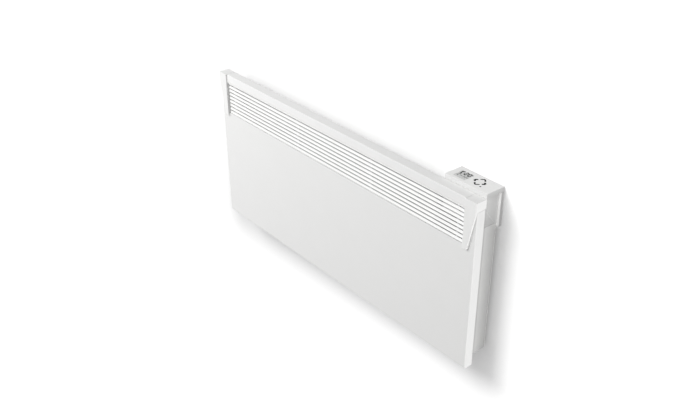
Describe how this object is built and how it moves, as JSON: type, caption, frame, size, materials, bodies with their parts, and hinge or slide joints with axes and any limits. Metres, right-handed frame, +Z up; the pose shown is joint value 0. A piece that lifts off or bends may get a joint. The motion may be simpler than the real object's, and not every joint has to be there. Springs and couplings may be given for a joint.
{
  "type": "wall panel convector heater",
  "caption": "Slim white wall convector: folded front panel, louvred outlet between slanted end caps, raised touch control unit, finned element inside, slotted hook-on wall bracket.",
  "frame": {"origin": "centre of the four wall screws' pattern, on the wall's face", "axes": "+X to the right of someone facing the heater, +Y into the wall, +Z up"},
  "size_m": [0.86, 0.0775, 0.4037],
  "materials": {
    "white_enamel": "satin white powder enamel",
    "casing_enamel": "satin white powder enamel on folded sheet",
    "white_plastic": "moulded white plastic, fine satin",
    "control_plastic": "moulded pale plastic, fine satin",
    "window_plastic": "clear window over a grey liquid crystal display",
    "galvanised_steel": "galvanised sheet",
    "element_aluminium": "as-extruded aluminium",
    "rod_steel": "annealed stainless tube",
    "rod_aluminium": "aluminium rivet",
    "zinc_steel": "zinc-plated steel",
    "ceramic": "steatite ceramic",
    "black_plastic": "moulded black plastic",
    "grey_plastic": "moulded grey nylon",
    "board_laminate": "green circuit board",
    "black_rubber": "conductive rubber",
    "grey_pvc": "insulated wire"
  },
  "bodies": {
    "heater": {"front_panel": "white_enamel", "top_strip": "white_plastic", "right_end_cap": "white_plastic", "left_end_cap": "white_plastic", "louvre_blades": "white_plastic", "louvre_combs": "white_plastic", "rear_casing": "casing_enamel", "left_casing_end": "casing_enamel", "right_casing_end": "casing_enamel", "inlet_guard": "casing_enamel", "bay_partition": "galvanised_steel", "heat_shield": "galvanised_steel", "heating_element": "element_aluminium", "heater_rod": "rod_steel", "element_bushes": "ceramic", "element_bracket": "galvanised_steel", "thermal_cutout": "black_plastic", "control_body": "control_plastic", "control_lid": "control_plastic", "control_rear_cover": "control_plastic", "display_window": "window_plastic", "display_module": "black_plastic", "touch_pads": "black_rubber", "touch_board": "board_laminate", "power_board": "board_laminate", "board_standoffs": "black_plastic", "board_screws": "zinc_steel", "terminal_block": "black_plastic", "relay": "black_plastic", "power_supply": "black_plastic", "capacitors": "black_plastic", "ribbon_cable": "grey_pvc", "heater_leads": "grey_pvc", "switch_housing": "black_plastic", "cable_gland": "grey_plastic", "gland_nut": "grey_plastic", "sensor_holder": "grey_plastic", "room_sensor": "zinc_steel", "flange_screws": "zinc_steel", "strip_screws": "zinc_steel", "control_screws": "zinc_steel"},
    "rocker": {"switch_rocker": "black_plastic"},
    "wall_bracket": {"left_rail": "galvanised_steel", "right_rail": "galvanised_steel", "cross_bar": "galvanised_steel", "bar_cleats": "galvanised_steel", "bracket_rivets": "rod_aluminium"}
  },
  "joints": [
    {"name": "heater_lift", "type": "slide", "parent": "wall_bracket", "child": "heater", "axis": [0, 0, 1], "range_m": [0, 0.011]},
    {"name": "rocker_tilt", "type": "hinge", "parent": "heater", "child": "rocker", "pos_m": [0.362, -0.03, -0.1685], "axis": [0, 1, 0], "range_deg": [0, 14]}
  ]
}
